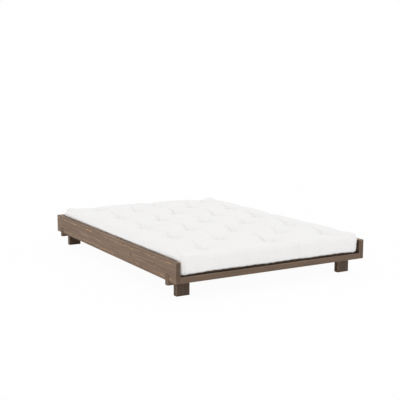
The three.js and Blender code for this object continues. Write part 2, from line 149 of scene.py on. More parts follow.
class Shader:
    """One material's node tree, with short calls for the nodes that repeat."""

    def __init__(self, name, roughness, specular=0.5):
        self.material = bpy.data.materials.new(name)
        self.material.use_nodes = True
        self.tree = self.material.node_tree
        self.surface = self.tree.nodes["Principled BSDF"]
        self.surface.inputs["Roughness"].default_value = roughness
        self.surface.inputs["Specular IOR Level"].default_value = specular
        self.place = self.add("ShaderNodeTexCoord")

    def add(self, kind, **settings):
        node = self.tree.nodes.new(kind)
        for key, value in settings.items():
            setattr(node, key, value)
        return node

    def feed(self, socket, value):
        if isinstance(value, bpy.types.NodeSocket):
            self.tree.links.new(value, socket)
        else:
            socket.default_value = value

    def math(self, operation, *values, clamp=False):
        node = self.add("ShaderNodeMath", operation=operation, use_clamp=clamp)
        for socket, value in zip(node.inputs, values):
            self.feed(socket, value)
        return node.outputs[0]

    def times(self, first, *others):
        for other in others:
            first = self.math("MULTIPLY", first, other)
        return first

    def plus(self, first, *others):
        for other in others:
            first = self.math("ADD", first, other)
        return first

    def split(self, vector):
        node = self.add("ShaderNodeSeparateXYZ")
        self.feed(node.inputs[0], vector)
        return node.outputs

    def noise(self, factors, detail, roughness=0.5, shift=(0, 0, 0)):
        mapping = self.add("ShaderNodeMapping")
        self.feed(mapping.inputs["Vector"], self.place.outputs["Object"])
        mapping.inputs["Scale"].default_value = factors
        mapping.inputs["Location"].default_value = shift
        node = self.add("ShaderNodeTexNoise")
        self.feed(node.inputs["Vector"], mapping.outputs[0])
        node.inputs["Scale"].default_value = 1
        node.inputs["Detail"].default_value = detail
        node.inputs["Roughness"].default_value = roughness
        return node.outputs["Fac"]

    def step(self, value, low, high, out_low=0.0, out_high=1.0):
        node = self.add("ShaderNodeMapRange", interpolation_type="SMOOTHSTEP")
        self.feed(node.inputs["Value"], value)
        names = ("From Min", "From Max", "To Min", "To Max")
        for name, number in zip(names, (low, high, out_low, out_high)):
            node.inputs[name].default_value = number
        return node.outputs[0]

    def mix(self, factor, first, second, blend="MIX"):
        node = self.add("ShaderNodeMix", data_type="RGBA", blend_type=blend)
        self.feed(node.inputs["Factor"], factor)
        for socket, value in (("A", first), ("B", second)):
            self.feed(node.inputs[socket], value if isinstance(value, bpy.types.NodeSocket) else (*value, 1))
        return node.outputs["Result"]

    def colour(self, value):
        self.feed(self.surface.inputs["Base Color"], value)

    def bump(self, height, distance, strength=1.0):
        node = self.add("ShaderNodeBump")
        node.inputs["Distance"].default_value = distance
        node.inputs["Strength"].default_value = strength
        self.feed(node.inputs["Height"], height)
        self.feed(self.surface.inputs["Normal"], node.outputs[0])


# Timber: growth rings round a pith line that runs along each piece
RING_PITCH = 0.0042
RING_WANDER, RING_RAGGED = 0.026, 0.0045  # how far slow and fine noise shift a ring
FACE_OFF, FACE_ON = 0.75, 0.95  # part of a normal along an axis, beside that face and on it
EDGE_WEAR = 0.3  # how much lighter the worn edges are
KNOT_LENGTH = 1.5  # along the grain, against its width
STREAK_WIDTH = 0.0055
STAIN = {"early": (0.200, 0.130, 0.086), "late": (0.300, 0.195, 0.128), "streak": (0.50, 0.32, 0.180)}
PINE = {"early": (0.66, 0.49, 0.31), "late": (0.50, 0.31, 0.155)}


def timber(name, grain, pith, tones, faces, seed, knots=(), streak=None, painted_shade_side=None, repeat=None):
    """Wood whose grain runs along one axis, with its pith at a point on the other two.

    faces are the tones across X, Y and Z, darker end grain and painted shade both, streak is the radius of a
    ring that took less stain, the painted-shade side an axis, a sign and a tone of painted shade, and repeat
    the pitch of pieces that share the material.
    """
    shader = Shader(name, 0.62, 0.35)
    others = [axis for axis in range(3) if axis != grain]
    shift = (seed * 3.7, seed * 1.9, seed * 2.3)

    def noise(along, across, detail, roughness=0.5):
        factors = [along if axis == grain else across for axis in range(3)]
        return shader.noise(factors, detail, roughness, shift)

    axes = shader.split(shader.place.outputs["Object"])
    squares = []
    for axis, centre in zip(others, pith):
        offset = shader.math("SUBTRACT", axes[axis], centre)
        if repeat and axis == 1:
            offset = shader.math("WRAP", offset, repeat / 2, -repeat / 2)
        squares.append(shader.times(offset, offset))
    radius = shader.math("SQRT", shader.plus(*squares))
    radius = shader.plus(radius, shader.times(noise(1.1, 3.0, 1.0), RING_WANDER))
    radius = shader.plus(radius, shader.times(noise(9.0, 60.0, 3.0), RING_RAGGED))
    rings = shader.math("DIVIDE", radius, RING_PITCH)
    within = shader.math("FRACT", rings)
    late = shader.times(shader.step(within, 0.35, 0.85), shader.step(within, 0.88, 1.0, 1.0, 0.0))
    strength = shader.add("ShaderNodeTexWhiteNoise", noise_dimensions="1D")
    shader.feed(strength.inputs["W"], shader.plus(shader.math("FLOOR", rings), seed))
    broken = shader.step(noise(5.0, 30.0, 3.0), 0.38, 0.62, 0.25, 1.0)
    strong = shader.times(shader.math("POWER", strength.outputs["Value"], 1.6), broken)
    share = shader.math("MULTIPLY", late, shader.plus(strong, 0.15), clamp=True)

    fibre = noise(14.0, 900.0, 2.0)
    cloud = noise(2.2, 14.0, 3.0)
    tone = shader.mix(share, tones["early"], tones["late"])
    if streak:
        apart = shader.math("ABSOLUTE", shader.math("SUBTRACT", radius, streak))
        near = shader.step(apart, STREAK_WIDTH * 0.3, STREAK_WIDTH, 1.0, 0.0)
        flecks = shader.step(noise(17.0, 110.0, 4.0, 0.7), 0.44, 0.60)
        patches = shader.step(noise(2.6, 22.0, 1.0), 0.35, 0.58)
        tone = shader.mix(shader.times(near, shader.times(flecks, patches)), tone, tones["streak"])
    levels = [shader.step(fibre, 0.25, 0.75, 0.90, 1.08), shader.step(cloud, 0.2, 0.8, 0.86, 1.13)]
    normal = shader.split(shader.place.outputs["Normal"])
    sides = [shader.math("ABSOLUTE", normal[axis]) for axis in range(3)]
    # Face tones by normal: darker end grain on faces across the grain, and painted shade on faces that get
    # less light.
    levels += [shader.step(side, FACE_OFF, FACE_ON, 1.0, face) for side, face in zip(sides, faces)]
    # Painted shade on one given side of one axis, such as a board's face toward the futon.
    if painted_shade_side:
        axis, sign, face = painted_shade_side
        levels.append(shader.step(shader.times(normal[axis], sign), FACE_OFF, FACE_ON, 1.0, face))
    flat = shader.math("MAXIMUM", shader.math("MAXIMUM", sides[0], sides[1]), sides[2])
    rubbed = shader.times(shader.step(flat, 0.75, 0.97, EDGE_WEAR, 0.0), shader.step(cloud, 0.35, 0.65))
    levels.append(shader.plus(rubbed, 1.0))
    for spot, size in knots:
        gaps = []
        for axis in range(3):
            reach = size * (KNOT_LENGTH if axis == grain else 1.0)
            gap = shader.math("DIVIDE", shader.math("SUBTRACT", axes[axis], spot[axis]), reach)
            gaps.append(shader.times(gap, gap))
        levels.append(shader.step(shader.plus(*gaps), 0.4, 1.6, 0.45, 1.0))
    level = shader.times(*levels)
    grey = shader.add("ShaderNodeCombineColor")
    for socket in grey.inputs:
        shader.feed(socket, level)
    shader.colour(shader.mix(1.0, tone, grey.outputs[0], "MULTIPLY"))
    shader.feed(shader.surface.inputs["Roughness"], shader.step(share, 0.0, 1.0, 0.66, 0.5))
    shader.bump(shader.plus(shader.times(fibre, 0.5), shader.times(share, 0.5)), 0.0004, 0.5)
    return shader.material


# Cotton: a plain weave with slubs, with painted shade in its creases
COTTON = (0.886, 0.877, 0.872)
WEAVE_PITCH = 0.0016
CREASE_SHADE_FULL_DEPTH = 0.026  # depth at which a crease is as dark as it gets
# The cotton's tone at the bottom of a deep crease: painted shade.
CREASE_PAINTED_SHADE = 0.89
SLUB_TONE, CLOUD_TONE = 0.978, 0.97


def toned(colour, tone):
    return tuple(part * tone for part in colour)


def cotton(name):
    shader = Shader(name, 0.95, 0.12)
    shader.surface.inputs["Sheen Weight"].default_value = 0.08
    shader.surface.inputs["Sheen Roughness"].default_value = 0.6
    axes = shader.split(shader.place.outputs["Object"])
    threads = []
    for axis in range(3):
        wobble = shader.noise((40, 40, 40), 1.0, shift=(axis * 5.0, 0, 0))
        turn = shader.times(axes[axis], 2 * math.pi / WEAVE_PITCH)
        threads.append(shader.math("SINE", shader.plus(turn, shader.times(wobble, 5.0))))
    slub_x = shader.noise((25, 420, 420), 2.0)
    slub_y = shader.noise((420, 25, 420), 2.0, shift=(3.0, 0, 0))
    slubs = shader.plus(slub_x, slub_y)
    cloud = shader.noise((4, 4, 4), 3.0)
    light = shader.mix(shader.step(slubs, 0.75, 1.25), toned(COTTON, SLUB_TONE), COTTON)
    light = shader.mix(shader.step(cloud, 0.3, 0.7, 0.0, 0.35), light, toned(COTTON, CLOUD_TONE))
    # Painted shade: the colour darkens where the folds and dimples are pressed deep.
    crease = shader.add("ShaderNodeAttribute", attribute_name="crease")
    share = shader.step(crease.outputs["Fac"], 0.0, CREASE_SHADE_FULL_DEPTH)
    shader.colour(shader.mix(share, light, toned(COTTON, CREASE_PAINTED_SHADE)))
    relief = shader.plus(shader.times(shader.plus(*threads), 0.12), shader.times(slubs, 0.5))
    shader.bump(relief, 0.0005, 0.22)
    return shader.material


def twine(name):
    """Waxed cotton twine; its laid spiral is not drawn, only fine fibres."""
    shader = Shader(name, 0.8, 0.2)
    fibre = shader.noise((900, 900, 900), 2.0)
    shader.colour(shader.mix(shader.step(fibre, 0.3, 0.7), (0.74, 0.71, 0.66), (0.86, 0.84, 0.80)))
    shader.bump(fibre, 0.0002, 0.6)
    return shader.material


TAPE_RIB_PITCH = 0.0022  # of the tape's slanted ribs
TAPE_RIB_TURN = 0.0075  # across the tape, where the ribs change their slant


def tape_cotton(name):
    """Woven tape with a herringbone of slanted ribs."""
    shader = Shader(name, 0.9, 0.15)
    axes = shader.split(shader.place.outputs["Object"])
    turned = shader.math("PINGPONG", axes[0], TAPE_RIB_TURN)
    slant = shader.plus(shader.times(turned, 0.8), axes[1])
    ribs = shader.math("SINE", shader.times(slant, 2 * math.pi / TAPE_RIB_PITCH))
    fibre = shader.noise((700, 160, 700), 2.0)
    cloud = shader.noise((9, 9, 9), 2.0)
    tone = shader.mix(shader.step(ribs, -0.9, 0.6), (0.42, 0.39, 0.33), (0.72, 0.69, 0.62))
    shader.colour(shader.mix(shader.step(cloud, 0.3, 0.7, 0.0, 0.25), tone, (0.52, 0.47, 0.39)))
    shader.bump(shader.plus(shader.times(ribs, 0.5), fibre), 0.0003, 0.6)
    return shader.material


def steel(name):
    shader = Shader(name, 0.38)
    shader.surface.inputs["Metallic"].default_value = 1.0
    cloud = shader.noise((120, 120, 120), 4.0)
    shader.colour(shader.mix(shader.step(cloud, 0.3, 0.7), (0.56, 0.56, 0.58), (0.70, 0.69, 0.67)))
    shader.feed(shader.surface.inputs["Roughness"], shader.step(cloud, 0.3, 0.7, 0.30, 0.48))
    shader.bump(shader.noise((900, 900, 900), 2.0), 0.0001, 0.3)
    return shader.material


# What each carried-over piece is made of
# The side boards' inner faces, toward the futon, get painted shade for the dark slot there; their end tone is
# darker end grain and painted shade both.
SIDE_GRAIN_AND_SHADE_TONES, SIDE_INNER_PAINTED_SHADE = (1.02, 0.50, 1.0), 0.38  # tones of the side boards, and of their inner faces
SIDE_KNOTS, KNOT_RADIUS = {"left": (-0.394, 0.175), "right": (0.31, 0.19)}, 0.010  # along Y and up
PITH_DEPTH = 0.048  # of the side boards' pith, behind their outer faces
BOARD_STREAK = 0.083
# Face tones in these tuples and the table below: darker end grain across the grain, and painted shade on the
# rest, such as the fronts, the legs, the beams' tops and, darkest, the foot rail's top.
BEAM = (0, STAIN, (0.04, -0.02), (0.75, 0.8, 0.45))
LEG = (2, STAIN, (0.02, 0.05), (0.75, 0.5, 0.6))
LEDGER = (1, PINE, (0.0, -0.05), (0.92, 0.7, 0.92))
TIMBERS = {  # seed, axis of the grain, wood, pith from the piece's middle, tones of its faces
    "head_board": (2, 0, STAIN, (-0.06, -0.01), (0.6, 0.92, 0.78)),
    "foot_rail": (3, 0, STAIN, (0.05, -0.03), (0.6, 0.68, 0.13)),
    "cross_beam_foot": (4, *BEAM),
    "leg_foot_left": (5, *LEG),
    "leg_foot_right": (6, *LEG),
    "cross_beam_head": (7, *BEAM),
    "leg_head_left": (8, *LEG),
    "leg_head_right": (9, *LEG),
    "center_leg": (10, 2, STAIN, (0.0, 0.05), (0.7, 0.7, 0.6)),
    "center_rail": (11, 1, PINE, (0.03, -0.04), (0.9, 0.7, 0.9)),
    "ledger_left": (12, *LEDGER),
    "ledger_right": (12, *LEDGER),
}
SLATS = sorted(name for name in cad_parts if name.startswith("slat_"))
SLAT_SEED, SLAT_PITH, SLAT_FACES = 13, (0.008, -0.05), (0.75, 1.0, 1.0)


def middle(name):
    low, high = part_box(name)
    return (low + high) / 2


def dress(name, material):
    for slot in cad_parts[name].material_slots:
        slot.material = material


def dress_timber():
    for seed, (side, spot) in enumerate(SIDE_KNOTS.items()):
        name = f"side_board_{side}"
        low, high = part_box(name)
        sign = -1 if side == "left" else 1
        pith = ((low.x if side == "left" else high.x) - sign * PITH_DEPTH, (low.z + high.z) / 2)
        knots = [((low.x, *spot), KNOT_RADIUS)]
        # Painted shade on the inner face, where the slot beside the futon is dark.
        painted_shade_side = (0, -sign, SIDE_INNER_PAINTED_SHADE)
        dress(name, timber(name, 1, pith, STAIN, SIDE_GRAIN_AND_SHADE_TONES, seed, knots, BOARD_STREAK, painted_shade_side))
    for name, (seed, grain, wood, offsets, faces) in TIMBERS.items():
        centre = [place for axis, place in enumerate(middle(name)) if axis != grain]
        pith = [place + offset for place, offset in zip(centre, offsets)]
        dress(name, timber(name, grain, pith, wood, faces, seed))
    first, second = middle(SLATS[0]), middle(SLATS[1])
    pith = (first.y + SLAT_PITH[0], first.z + SLAT_PITH[1])
    slats = timber("slats", 0, pith, PINE, SLAT_FACES, SLAT_SEED, repeat=second.y - first.y)
    for name in SLATS:
        dress(name, slats)


def dress_steel():
    zinc = steel("zinc_steel")
    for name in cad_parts:
        if "screw" in name or "bolt" in name or "bracket" in name:
            dress(name, zinc)


# Futon: one cotton cover, tufted through, blown up by a cloth simulation
FUTON_LOW, FUTON_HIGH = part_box("futon_cover")
FUTON_MIDDLE = (np.array(FUTON_LOW[:2]) + np.array(FUTON_HIGH[:2])) / 2
HALF_WIDTH, HALF_LENGTH = (np.array(FUTON_HIGH[:2]) - np.array(FUTON_LOW[:2])) / 2
UNDERSIDE_Z = FUTON_LOW[2]
CROWN_Z = FUTON_HIGH[2]
CORNER_RADIUS = 0.016
TOP_ROLL = 0.020
BOTTOM_ROLL = 0.013
SHEET_INSET = 0.006  # of the top sheet's rim, inside the side walls
EDGE_DROP = 0.004  # of the rolled edges, below the crowns
STEP = 0.0105
CORNER_STEPS = 4
FINE_STEP = 0.007
ROW_LINES = np.arange(-0.0135, 0.0136, 0.003)  # close grid lines beside a row of tufts
COLUMN_LINES = np.arange(-0.0135, 0.043, 0.0035)  # beside a column, as far as its folds lean
CLOSEST_LINES = 0.2  # of a step
WALL_FINER = 2

# Tufts, a staggered lattice a little to one side, as in the photograph
TUFT_PITCH_X, TUFT_PITCH_Y = 0.2525, 0.2142
TUFT_SHIFT = np.array([0.046, 0.020])
TUFT_COLUMNS, TUFT_ROWS = 5, 9
TUFT_STRAY = 0.006
TUFT_DEPTH = 0.026
TUFT_HOLD_RADIUS = 0.009
TUFT_SLOPE_RADIUS = 0.085


def tuft_places():
    rng = np.random.default_rng(11)
    places = []
    for row in range(TUFT_ROWS):
        for column in range(TUFT_COLUMNS):
            if (row + column) % 2 == 0:
                i, j = column - TUFT_COLUMNS // 2, row - TUFT_ROWS // 2
                places.append((i * TUFT_PITCH_X, j * TUFT_PITCH_Y))
    stray = rng.normal(0, TUFT_STRAY, (len(places), 2))
    return np.array(places) + stray + TUFT_SHIFT


def outline(inset, across, along):
    """Rounded rectangle from the middle of the near left corner's arc, anticlockwise."""
    radius = CORNER_RADIUS - inset
    half = CORNER_STEPS // 2

    def arc(x, y, start, steps=half):
        angles = [math.radians(start + 45 * step / half) for step in range(steps)]
        return [(x + radius * math.cos(angle), y + radius * math.sin(angle)) for angle in angles]

    cx, cy = HALF_WIDTH - CORNER_RADIUS, HALF_LENGTH - CORNER_RADIUS
    corners = [(-cx, -cy, 225, across), (cx, -cy, 315, along), (cx, cy, 45, across), (-cx, cy, 135, along)]
    points = []
    for index, (x, y, start, count) in enumerate(corners):
        next_x, next_y = corners[(index + 1) % 4][:2]
        points += arc(x, y, start)
        from_x, from_y = arc(x, y, start + 45, 1)[0]
        shares = [step / count for step in range(count)]
        points += [(from_x + (next_x - x) * share, from_y + (next_y - y) * share) for share in shares]
        points += arc(next_x, next_y, start + 45)
    return np.array(points)


def filled(loop, across, along):
    """Grid of points that fills a loop of four sides, each side's points kept (a Coons patch)."""
    near = loop[0:across + 1]
    right = loop[across:across + along + 1]
    far = loop[across + along:2 * across + along + 1][::-1]
    left = np.vstack([loop[2 * across + along:], loop[:1]])[::-1]
    u = np.linspace(0, 1, across + 1)[:, None, None]
    v = np.linspace(0, 1, along + 1)[None, :, None]
    sides = (1 - v) * near[:, None] + v * far[:, None] + (1 - u) * left[None] + u * right[None]
    corners = (1 - u) * (1 - v) * near[0] + u * (1 - v) * near[-1] + (1 - u) * v * far[0] + u * v * far[-1]
    return sides - corners


def inside_distance(x, y):
    """How far a point lies inside the outline."""
    qx = np.abs(x) - (HALF_WIDTH - CORNER_RADIUS)
    qy = np.abs(y) - (HALF_LENGTH - CORNER_RADIUS)
    out = np.hypot(np.maximum(qx, 0), np.maximum(qy, 0)) + np.minimum(np.maximum(qx, qy), 0)
    return CORNER_RADIUS - out


def side_profile():
    """Rows of the side wall from the top sheet's rim down, as (inset, height)."""
    top = CROWN_Z - EDGE_DROP - TOP_ROLL
    low = UNDERSIDE_Z + BOTTOM_ROLL
    rim = math.asin((TOP_ROLL - SHEET_INSET) / TOP_ROLL)
    rows = [(TOP_ROLL * (1 - math.sin(a)), top + TOP_ROLL * math.cos(a))
            for a in np.linspace(rim, math.pi / 2, 4)[1:]]
    count = round((top - low) / STEP)
    rows += [(0.0, top + (low - top) * k / count) for k in range(1, count + 1)]
    rows += [(BOTTOM_ROLL * (1 - math.cos(a)), low - BOTTOM_ROLL * math.sin(a))
             for a in np.linspace(0, math.pi / 2, 4)[1:]]
    return rows


def cover_grid():
    """The cover before it is blown up: its top sheet and its side wall, as grids of points."""
    nx = round(2 * (HALF_WIDTH - CORNER_RADIUS) / STEP)
    ny = round(2 * (HALF_LENGTH - CORNER_RADIUS) / STEP)
    across, along = nx + CORNER_STEPS, ny + CORNER_STEPS
    flat = filled(outline(SHEET_INSET, nx, ny), across, along)
    depth = np.clip(inside_distance(flat[..., 0], flat[..., 1]), 0, TOP_ROLL)
    roll = TOP_ROLL - np.sqrt(TOP_ROLL ** 2 - (TOP_ROLL - depth) ** 2)
    sheet = np.dstack([flat, CROWN_Z - EDGE_DROP - roll])
    wall = [around(sheet)]
    for inset, height in side_profile():
        loop = outline(inset, nx, ny)
        wall.append(np.column_stack([loop, np.full(len(loop), height)]))
    return sheet, np.array(wall)


def from_sides(x):
    return HALF_WIDTH - np.abs(x)


def from_ends(y):
    return HALF_LENGTH - np.abs(y)


def around(sheet):
    """The rim of a grid of points, in the order of the outline."""
    return np.concatenate([sheet[:-1, 0], sheet[-1, :-1], sheet[:0:-1, -1], sheet[0, :0:-1]])


def squares(index):
    """Faces of a grid of point numbers."""
    ends = [index[:-1, :-1], index[1:, :-1], index[1:, 1:], index[:-1, 1:]]
    return np.stack(ends, -1).reshape(-1, 4)


def joined(sheet, wall):
    """Points and faces of the sheet with the wall hung from its rim."""
    across, along = sheet.shape[0] - 1, sheet.shape[1] - 1
    index = np.arange((across + 1) * (along + 1)).reshape(across + 1, along + 1)
    count = wall.shape[1]
    rows = index.size + np.arange((len(wall) - 1) * count).reshape(-1, count)
    rows = np.vstack([around(index), rows])
    after = np.roll(rows, -1, 1)
    side = np.stack([rows[:-1], rows[1:], after[1:], after[:-1]], -1).reshape(-1, 4)
    points = np.vstack([sheet.reshape(-1, 3), wall[1:].reshape(-1, 3)])
    return points, np.vstack([squares(index), side])


def resampled(values, places, closed=False):
    """Smooth values between the rows of a grid, at fractional row numbers (Catmull-Rom)."""
    count = len(values)
    base = np.floor(places).astype(int)
    if not closed:
        base = np.minimum(base, count - 2)
    share = (places - base).reshape(-1, *[1] * (values.ndim - 1))
    pick = (lambda k: values[k % count]) if closed else (lambda k: values[np.clip(k, 0, count - 1)])
    before, start, end, after = (pick(base + k) for k in (-1, 0, 1, 2))
    return 0.5 * (2 * start + (end - before) * share
                  + (2 * before - 5 * start + 4 * end - after) * share ** 2
                  + (3 * start - before - 3 * end + after) * share ** 3)


def finer_lines(places, seams, beside):
    """Fractional grid lines: an even step, and a close one beside each seam."""
    count = len(places)
    even = np.linspace(0, count - 1, round((count - 1) * STEP / FINE_STEP) + 1)
    close = np.interp((seams[:, None] + beside).ravel(), places, np.arange(count))
    lines = np.sort(np.concatenate([even, close]))
    kept = [0.0]
    for line in lines:
        if line - kept[-1] > CLOSEST_LINES and line < count - 1 - CLOSEST_LINES:
            kept.append(line)
    return np.array(kept + [count - 1.0])


def finer_grids(sheet, wall, first_sheet, tufts):
    """Both grids with more lines, closest along the columns and rows of tufts."""
    across, along = sheet.shape[0] - 1, sheet.shape[1] - 1
    columns = TUFT_SHIFT[0] + (np.arange(TUFT_COLUMNS) - TUFT_COLUMNS // 2) * TUFT_PITCH_X
    rows = TUFT_SHIFT[1] + (np.arange(TUFT_ROWS) - TUFT_ROWS // 2) * TUFT_PITCH_Y
    lines_x = finer_lines(first_sheet[:, along // 2, 0], columns, COLUMN_LINES)
    lines_y = finer_lines(first_sheet[across // 2, :, 1], rows, ROW_LINES)
    fine = resampled(resampled(sheet, lines_x).swapaxes(0, 1), lines_y).swapaxes(0, 1)
    loop = np.concatenate([lines_x[:-1], across + lines_y[:-1],
                           2 * across + along - lines_x[:0:-1], 2 * (across + along) - lines_y[:0:-1]])
    levels = np.linspace(0, len(wall) - 1, WALL_FINER * (len(wall) - 1) + 1)
    fine_wall = resampled(resampled(wall, levels).swapaxes(0, 1), loop, closed=True).swapaxes(0, 1)
    fine_wall[0] = around(fine)
    return fine, fine_wall


# Cloth: how the cover is cut, held and blown up
CUT_SLACK_ACROSS, CUT_SLACK_ALONG, CUT_SLACK_BORDER = 0.010, 0.004, 0.001
FOLD_DEPTH, FOLD_WIDTH, FOLD_REACH, FOLD_HOLD = 0.005, 0.010, 0.10, 0.06
FOLD_HELD_FROM = 0.15  # share of a fold's depth from which it is held
FREE_RINGS = 3  # rows of the wall, from its top, that are free to move
START_NOISE = 0.0003
CORNER_HOLD, CORNER_HOLD_REACH = 0.25, 0.045
CLOTH_FRAMES = 20
CLOTH = {
    "quality": 5, "mass": 0.3, "vertex_group_mass": "held",
    "tension_stiffness": 40, "compression_stiffness": 40, "shear_stiffness": 40 / 3, "bending_stiffness": 0.5,
    "tension_damping": 5, "compression_damping": 5, "shear_damping": 5, "bending_damping": 0.5,
    "air_damping": 1, "use_pressure": True, "uniform_pressure_force": 0.8,
}


def stretched(values, low, high, slack, border):
    """Coordinates pulled out from the middle, more inside the tufted range than beyond it."""
    inner = np.clip(values, low, high)
    return values + inner * slack + (values - inner) * border


def make_mesh(name, points, faces):
    mesh = bpy.data.meshes.new(name)
    mesh.from_pydata([tuple(point) for point in points], [], [tuple(map(int, face)) for face in faces])
    return mesh


def numbers(items, key):
    values = np.empty(len(items) * 3)
    items.foreach_get(key, values)
    return values.reshape(-1, 3)


def simulate(points, faces, weights, cut):
    """The points after the cloth, cut larger than it is sewn, is blown up."""
    cloth = placed("cloth_try", make_mesh("cloth_try", points, faces))
    cloth.shape_key_add(name="sewn")
    key = cloth.shape_key_add(name="cut")
    key.data.foreach_set("co", cut.ravel())
    key.value = 0
    group = cloth.vertex_groups.new(name="held")
    for weight in np.unique(weights[weights > 0]):
        group.add([int(k) for k in np.where(weights == weight)[0]], float(weight), "REPLACE")
    modifier = cloth.modifiers.new("cloth", "CLOTH")
    settings = modifier.settings
    for name, value in CLOTH.items():
        setattr(settings, name, value)
    settings.rest_shape_key = key
    settings.effector_weights.gravity = 0
    modifier.point_cache.frame_start = 1
    modifier.point_cache.frame_end = CLOTH_FRAMES
    for number in range(1, CLOTH_FRAMES + 1):
        scene.frame_set(number)
    blown = cloth.evaluated_get(bpy.context.evaluated_depsgraph_get()).to_mesh()
    result = numbers(blown.vertices, "co")
    scene.frame_set(1)
    bpy.data.objects.remove(cloth)
    return result


def blown_cover(sheet, wall, tufts):
    points, faces = joined(sheet, wall)
    sheet_count = sheet.shape[0] * sheet.shape[1]
    ring_count = wall.shape[1]
    start = points.copy()
    flat = start[:sheet_count]
    apart = np.hypot(flat[:, :1] - tufts[:, 0], flat[:, 1:2] - tufts[:, 1])
    nearest = apart.min(1)
    start[:sheet_count, 2] -= TUFT_DEPTH * np.clip(1 - nearest / TUFT_SLOPE_RADIUS, 0, 1) ** 2
    cut = start.copy()
    for axis, slack in ((0, CUT_SLACK_ACROSS), (1, CUT_SLACK_ALONG)):
        first, last = tufts[:, axis].min(), tufts[:, axis].max()
        cut[:, axis] = stretched(start[:, axis], first, last, slack, CUT_SLACK_BORDER)
    weights = np.zeros(len(points))
    fold = np.zeros(sheet_count)
    for x, y in tufts:
        reach = np.clip(1 - np.abs(flat[:, 1] - y) / FOLD_REACH, 0, 1)
        fold = np.maximum(fold, reach * np.exp(-((flat[:, 0] - x) / FOLD_WIDTH) ** 2))
    start[:sheet_count, 2] -= FOLD_DEPTH * fold
    weights[:sheet_count] = np.where(fold > FOLD_HELD_FROM, np.round(FOLD_HOLD * fold, 3), 0)
    weights[:sheet_count][nearest < TUFT_HOLD_RADIUS] = 1
    weights[sheet_count + FREE_RINGS * ring_count:] = 1
    corner = np.maximum(from_sides(points[:, 0]), from_ends(points[:, 1]))
    weights[(corner < CORNER_HOLD_REACH) & (weights == 0)] = CORNER_HOLD
    rng = np.random.default_rng(7)
    start[:sheet_count, 2] += rng.normal(0, START_NOISE, sheet_count)
    blown = simulate(start, faces, weights, cut)
    sheet_after = blown[:sheet_count].reshape(sheet.shape)
    rings = blown[sheet_count:].reshape(-1, ring_count, 3)
    return sheet_after, np.concatenate([around(sheet_after)[None], rings])


# Folds, gathers and dimples, worked into the blown cover; a pair is where a form starts and is full
TOP_FACING = (0.25, 0.75)  # upward part of a normal on the top
TOP_FLOOR = 0.06  # above the underside
CROWN_MARGIN, CROWN_SPAN, CROWN_SLOPE = 0.002, 0.012, 0.6  # what rises past the crowns is pressed down
DIMPLE_DEPTH, DIMPLE_RADIUS, DIMPLE_REACH = 0.020, 0.030, 0.15
BOWL_DEPTH, BOWL_RADIUS = 0.019, 0.075
PRESS_EDGE = 0.08  # inside the rim, where the folds fade out
FOLD_STEEP, FOLD_GENTLE = 0.6, 1.8  # of the half width, on either side of a fold
FOLD_BACK = 0.012  # how far a fold runs on behind its tuft
FOLD_SEED, CREASE_SEED = 23, 29
FOLDS = (  # heading in degrees, reach, depth, half width, stray of the heading, bend
    (78, 0.34, 0.011, 0.012, 3, 0.33),
    (62, 0.15, 0.011, 0.011, 5, 0.1),
    (268, 0.16, 0.008, 0.009, 3, 0),
    (30, 0.11, 0.011, 0.010, 9, 0),
    (5, 0.07, 0.010, 0.009, 9, 0),
    (112, 0.08, 0.006, 0.006, 7, 0),
    (150, 0.08, 0.006, 0.008, 9, 0),
    (180, 0.05, 0.005, 0.008, 9, 0),
    (215, 0.08, 0.006, 0.008, 9, 0),
    (325, 0.08, 0.007, 0.008, 9, 0),
)
CREASES = (  # sharp ones, on top of the folds
    (77, 0.34, 0.0090, 0.0040, 2, 0.35),
    (86, 0.25, 0.0060, 0.0035, 3, 0.30),
    (66, 0.13, 0.0050, 0.0035, 4, 0.20),
    (28, 0.08, 0.0045, 0.0035, 8, 0),
    (255, 0.07, 0.0040, 0.0035, 8, 0),
)
WALL_FADE = (1.15, 0.8)  # of the gathers, in heights of the wall
WALL_FACING, SIDE_FACING = (0.75, 0.25), (0.35, 0.75)  # upward and outward part of a normal on a wall
WALL_WAVES, WALL_WAVE_SIZE = (0.31, 0.19, 0.11), 0.0018
GATHER_DEPTH, GATHER_PITCH, GATHER_MARGIN = 0.0020, 0.016, 0.03
GATHER_FADE, GATHER_RIDGE, TALL_REACH = 0.35, 0.35, 1.6
TALL_FOLDS = (  # of the near face: place, depth and half width
    (-0.20, 0.0022, 0.007),
    (0.012, 0.0048, 0.009),
    (0.195, 0.0040, 0.005),
)
SIDE_BULGE = (0.016, 0.004)  # over the left and the right board
BULGE_WIDTH, BULGE_END = 0.05, 0.04
BULGE_FROM, BULGE_TO = (-0.004, 0.016), (0.008, -0.017)  # above the boards, and above the crowns
BOARD_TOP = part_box("side_board_left")[1].z
PLUMP_RISE = (0.03, 0.11)  # above the underside
HEAD_PLUMP, HEAD_RISE = 0.010, (-0.25, 0.75)  # the head end is filled higher than the foot end
RIGHT_LACK, RIGHT_FADE = 0.7, (0.2, 0.6)  # share of this that the right side lacks, and where
CORNER_EAR, HEAD_EAR, CORNER_EAR_REACH = 0.011, 0.007, 0.13
EDGE_SAG, EDGE_SAG_WIDTH, EDGE_SAG_REACH = 0.009, 0.05, 0.27  # where a tuft pulls on the nearest edge
CORNER_EASE, EASE_RISE, EASE_ROUNDS = 0.085, 0.05, 40  # of the upright edges, pulled smooth
CORNER_ROUND, CORNER_ROUND_REACH = 0.045, 0.10  # of the top corners
HIDDEN_CORNER = 0.3  # share of it at the far right corner
RIM_LIFT, RIM_HEIGHT, RIM_CORNER, RIM_WAVE_CORNER = 0.007, 0.055, 0.14, 0.1
RIM_DROOP, RIM_DROOP_REACH = 0.3, 0.06  # of the ends' lift, at the corners
END_WAVES, END_WAVE_SIZE, END_INWARD = (0.47, 0.29, 0.17, 0.06), 0.003, 0.07
